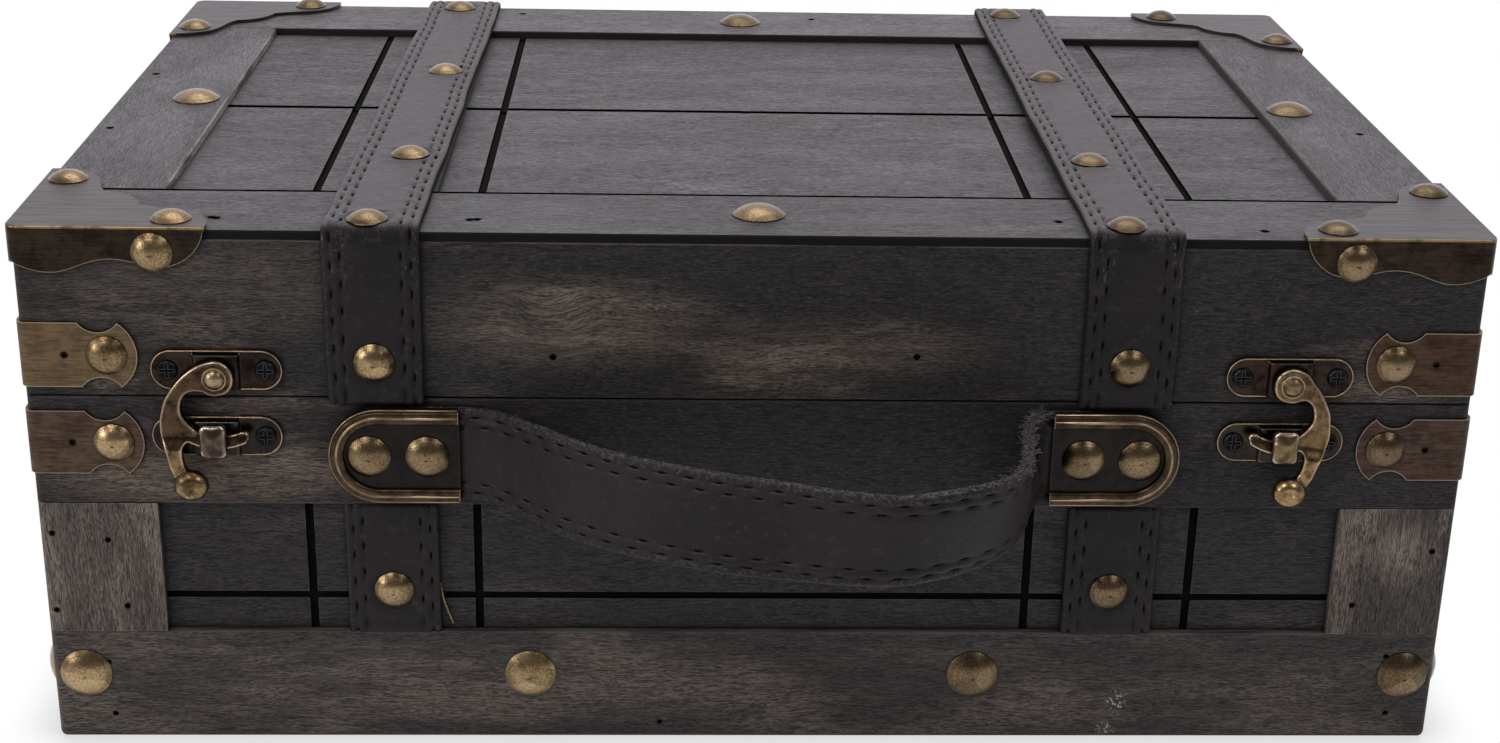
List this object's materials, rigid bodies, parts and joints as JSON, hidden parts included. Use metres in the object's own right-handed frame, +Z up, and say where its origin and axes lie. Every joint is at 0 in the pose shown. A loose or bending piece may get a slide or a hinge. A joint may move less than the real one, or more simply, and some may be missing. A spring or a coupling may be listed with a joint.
{
  "type": "storage trunk",
  "caption": "Small suitcase-style wooden trunk with a hinged lid, leather straps, a leather front handle, metal corners, dome tacks and swing-hook latches.",
  "frame": {"origin": "centre of the underside, on the surface the trunk stands on", "axes": "+X along the length, to the right seen from the front; -Y towards the front with the handle; +Z up"},
  "size_m": [0.3058, 0.2494, 0.1197],
  "materials": {
    "board_wood": "black stain over worn grain, satin",
    "frame_wood": "black stain over worn grain, satin",
    "strap_leather": "dark brown leather with two rows of stitching along each edge",
    "corner_metal": "antique brass sheet, brushed and dark in places",
    "tack_gold": "antique gold with dark patina",
    "plate_bronze": "dark bronze with bright worn rims",
    "latch_bronze": "antique bronze with bright worn edges",
    "dark_screws": "blackened",
    "hinge_steel": "antique bronze"
  },
  "bodies": {
    "base": {"base_board_back": "board_wood", "base_board_front": "board_wood", "base_board_left": "board_wood", "base_board_right": "board_wood", "base_corner_wraps": "corner_metal", "base_floor": "board_wood", "base_large_tacks": "tack_gold", "base_small_tacks": "tack_gold", "base_straps_back": "strap_leather", "base_straps_front": "strap_leather", "bottom_rail_back": "frame_wood", "bottom_rail_front": "frame_wood", "corner_stiles": "frame_wood", "handle_plate_left": "plate_bronze", "handle_plate_right": "plate_bronze", "handle_plate_tacks": "tack_gold", "handle_tab_left": "strap_leather", "handle_tab_right": "strap_leather", "hinge_leaf_base_left": "hinge_steel", "hinge_leaf_base_right": "hinge_steel", "hinge_pins": "hinge_steel", "hinge_screws_base": "dark_screws", "keeper_screws": "dark_screws", "latch_keeper_left": "latch_bronze", "latch_keeper_right": "latch_bronze", "side_rails": "frame_wood", "top_rail_back": "frame_wood", "top_rail_front": "frame_wood"},
    "lid": {"corner_protector_back_left": "corner_metal", "corner_protector_back_right": "corner_metal", "corner_protector_front_left": "corner_metal", "corner_protector_front_right": "corner_metal", "hinge_leaf_lid_left": "hinge_steel", "hinge_leaf_lid_right": "hinge_steel", "hinge_screws_lid": "dark_screws", "latch_plate_left": "latch_bronze", "latch_plate_right": "latch_bronze", "latch_rivets": "latch_bronze", "latch_screws": "dark_screws", "lid_corner_wraps": "corner_metal", "lid_frame_back": "frame_wood", "lid_frame_front": "frame_wood", "lid_frame_sides": "frame_wood", "lid_large_tacks": "tack_gold", "lid_panel": "board_wood", "lid_plank_back": "board_wood", "lid_plank_front": "board_wood", "lid_plank_left": "board_wood", "lid_plank_right": "board_wood", "lid_small_tacks": "tack_gold", "lid_strap_left": "strap_leather", "lid_strap_right": "strap_leather", "strap_battens": "board_wood"},
    "handle": {"handle_strap": "strap_leather"},
    "left_latch_arm": {"latch_arm_left": "latch_bronze"},
    "right_latch_arm": {"latch_arm_right": "latch_bronze"}
  },
  "joints": [
    {"name": "lid_open", "type": "hinge", "parent": "base", "child": "lid", "pos_m": [0, 0.1035, 0.08015], "axis": [-1, 0, 0], "range_deg": [0, 105]},
    {"name": "left_latch_swing", "type": "hinge", "parent": "lid", "child": "left_latch_arm", "pos_m": [-0.1107, -0.104, 0.0854], "axis": [0, 1, 0], "range_deg": [0, 150]},
    {"name": "right_latch_swing", "type": "hinge", "parent": "lid", "child": "right_latch_arm", "pos_m": [0.1107, -0.104, 0.0854], "axis": [0, -1, 0], "range_deg": [0, 150]},
    {"name": "handle_swing", "type": "hinge", "parent": "base", "child": "handle", "pos_m": [0, -0.1022, 0.0684], "axis": [-1, 0, 0], "range_deg": [-25, 30], "stiffness_Nm_per_rad": 0.02, "springref_deg": 4.18}
  ]
}
